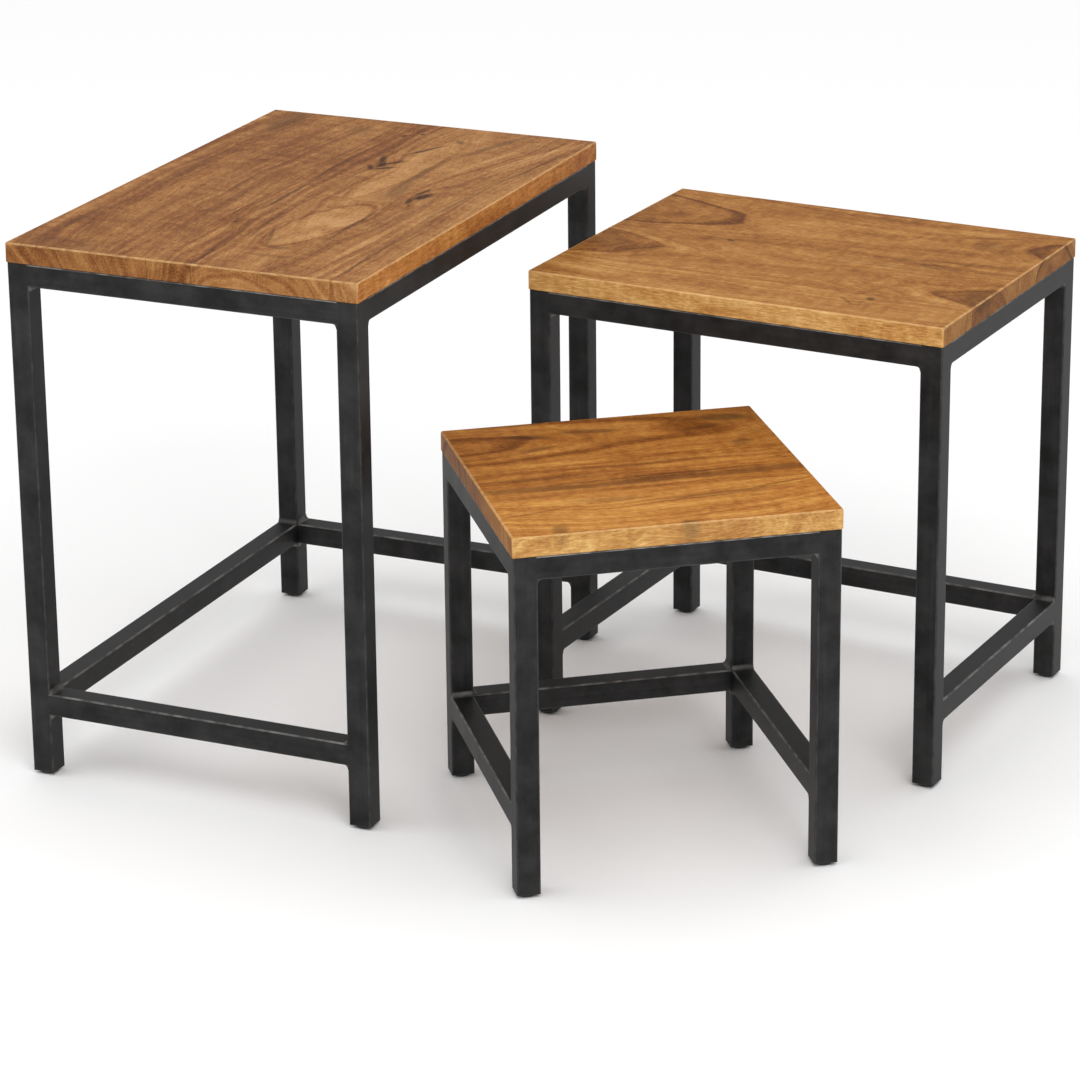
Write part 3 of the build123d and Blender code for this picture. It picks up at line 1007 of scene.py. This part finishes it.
    # The long edge that takes most light is painted paler, as painted light; the end grain is painted darker,
    # partly for the lacquer it drinks and partly as painted shade; and the upper arrises go pale in patches
    # of about 9 mm, partly worn lacquer and partly a painted highlight
    lit_edge_across, lit_edge_gain = lit_edge
    on_lit_edge = add(
        tree, "ShaderNodeMath", {0: face_across, 1: lit_edge_across / 1000, 2: LIT_EDGE_REACH},
        operation="COMPARE",
    )
    painted_light_colour = add(tree, "ShaderNodeVectorMath", {0: colour, 1: lit_edge_gain}, operation="MULTIPLY")
    colour = add(
        tree, "ShaderNodeMix", {"Factor": on_lit_edge, 6: colour, 7: painted_light_colour.outputs[0]}, data_type="RGBA"
    ).outputs[2]
    # The end faces are painted darker: partly end grain that drinks lacquer, partly painted shade
    thirst_and_shade = add(tree, "ShaderNodeMath", {0: at_end, 1: end_thirst_and_shade}, operation="MULTIPLY")
    colour = add(
        tree, "ShaderNodeMix", {"Factor": thirst_and_shade, 6: colour, 7: heartwood_brown}, data_type="RGBA"
    ).outputs[2]
    patches = add(tree, "ShaderNodeTexNoise", {"Vector": face, "Scale": 110, "Detail": 4}).outputs["Fac"]
    rubbed_and_lit = add(
        tree, "ShaderNodeMapRange",
        {"Value": patches, "From Min": 0.38, "From Max": 0.68, "To Min": 0.25, "To Max": 0.7},
    )
    pale = add(tree, "ShaderNodeMath", {0: worn_and_lit, 1: rubbed_and_lit}, operation="MULTIPLY")
    colour = add(
        tree, "ShaderNodeMix", {"Factor": pale, 6: colour, 7: worn_and_lit_pale}, data_type="RGBA"
    ).outputs[2]

    # The lacquer sinks into the fibre and the pores, and leaves a faint relief and an uneven sheen
    rough = add(
        tree, "ShaderNodeMapRange",
        {"Value": fibre, "From Min": 0.25, "From Max": 0.75, "To Min": 0.40, "To Max": 0.54},
    )
    relief = add(tree, "ShaderNodeMath", {0: fibre, 1: pore}, operation="SUBTRACT")
    bump = add(tree, "ShaderNodeBump", {"Height": relief, "Strength": 0.35, "Distance": 0.00006})
    shader = add(
        tree, "ShaderNodeBsdfPrincipled",
        {
            "Base Color": colour, "Roughness": rough, "IOR": 1.45, "Specular IOR Level": 0.05,
            "Normal": bump, "Coat Weight": 0.02, "Coat Roughness": 0.35,
        },
    )
    add(tree, "ShaderNodeOutputMaterial", {"Surface": shader})
    return material


# Dark to pale, for each top
shades_of = {
    "large": ("#5d351b", "#7e4d2a", "#946337", "#a77645", "#bc8d5b"),
    "medium": ("#5e3516", "#865425", "#9e6832", "#ae7b40", "#c39559"),
    "small": ("#6b3c17", "#8f5522", "#a6692e", "#b77b38", "#cc944c"),
}

# The long edge that takes most light, painted lighter as painted light: how far across it lies, in mm, and
# how much lighter it is painted in red, green and blue
lit_edge_of = {
    "large": (410, (1.31, 1.18, 0.92)),
    "medium": (0, (1.44, 1.70, 2.1)),
    "small": (0, (1.22, 1.60, 2.5)),
}

# How much darker the end grain is painted: partly the lacquer it drinks, partly painted shade on the end
# faces
end_thirst_and_shade_of = {"large": 0.02, "medium": 0.27, "small": 0.40}

top_low, top_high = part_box("large_top_boards")
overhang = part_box("large_leg_front_left")[0].x - top_low.x
top_thick = top_high.z - top_low.z

for table in tables:
    reach = table.tube / 2 + overhang
    corner = Matrix.Translation((-reach, -reach, 0))
    along_width = table.name != "large"
    length = (table.width if along_width else table.depth) + 2 * reach
    # The large top's grain runs from front to back: X and Y change places
    turn = Matrix.Identity(4)
    if not along_width:
        turn = Matrix(((0, 1, 0, 0), (1, 0, 0, 0), (0, 0, 1, 0), (0, 0, 0, 1)))
    upper = table.frame_top + top_thick
    shape = top_mesh(f"{table.name}_top", boards_of[table.name], length, table.frame_top, upper, turn)
    widths = [board.width for board in boards_of[table.name]]
    seams = [sum(widths[:count]) for count in range(1, len(widths))]
    wood = sheesham(
        f"sheesham_satin_lacquer_{table.name}", shades_of[table.name], swells_of[table.name],
        figure_of[table.name], tongues_of[table.name], seams, lit_edge_of[table.name],
        end_thirst_and_shade_of[table.name],
    )
    top = add_piece(
        f"{table.name}_top", shape, wood, table.place @ corner, table.body,
        f"{table.name}_top_boards",
    )
    keep_flats(top)


# ------------------------------------------------------------------------------------------------
# The studio: a wide pale floor that runs out of sight, a pale surround that is brightest overhead,
# one large soft light high at the front right and a weaker one at the left.

# The floor lies a hair below the feet, so that the two never fight for the same place
FLOOR_DROP = 0.0003
FLOOR_HALF = 14

bpy.context.scene.view_settings.view_transform = "Standard"

world = bpy.data.worlds.new("studio")
bpy.context.scene.world = world
world.use_nodes = True
sky = world.node_tree
sky_place = add(sky, "ShaderNodeTexCoord").outputs["Generated"]
sky_way = add(sky, "ShaderNodeSeparateXYZ", {0: sky_place})
glow = add(
    sky, "ShaderNodeMapRange",
    {"Value": sky_way.outputs["Z"], "From Min": 0.0, "From Max": 0.75, "To Min": 0.18, "To Max": 1.17},
)
sky.links.new(glow.outputs[0], sky.nodes["Background"].inputs["Strength"])
sky.nodes["Background"].inputs["Color"].default_value = (1, 1, 1, 1)

bm = bmesh.new()
bmesh.ops.create_grid(bm, x_segments=8, y_segments=8, size=FLOOR_HALF)
bmesh.ops.translate(bm, verts=bm.verts, vec=(0, 0, -FLOOR_DROP))
floor_data = finished(bm, "floor")
floor = bpy.data.objects.new("floor", floor_data)
bpy.context.scene.collection.objects.link(floor)
floor_paint, floor_tree = new_material("pale_matt_floor_paint")
floor_shader = add(
    floor_tree, "ShaderNodeBsdfPrincipled", {"Base Color": linear("#fbfbfb"), "Roughness": 0.8}
)
add(floor_tree, "ShaderNodeOutputMaterial", {"Surface": floor_shader})
floor_data.materials.append(floor_paint)


def soft_light(name, place, aim, size, power):
    """A round soft light, its face turned to the point that it is aimed at."""
    light_data = bpy.data.lights.new(name, "AREA")
    light_data.shape = "DISK"
    light_data.size = size
    light_data.energy = power
    light = bpy.data.objects.new(name, light_data)
    bpy.context.scene.collection.objects.link(light)
    light.location = place
    light.rotation_euler = (Vector(aim) - Vector(place)).to_track_quat("-Z", "Y").to_euler()


soft_light("key", (2.2, -2.6, 3.0), (0, 0, 0.3), 2.4, 56)
soft_light("fill", (-2.8, -1.8, 2.2), (0, 0, 0.3), 2.0, 12)
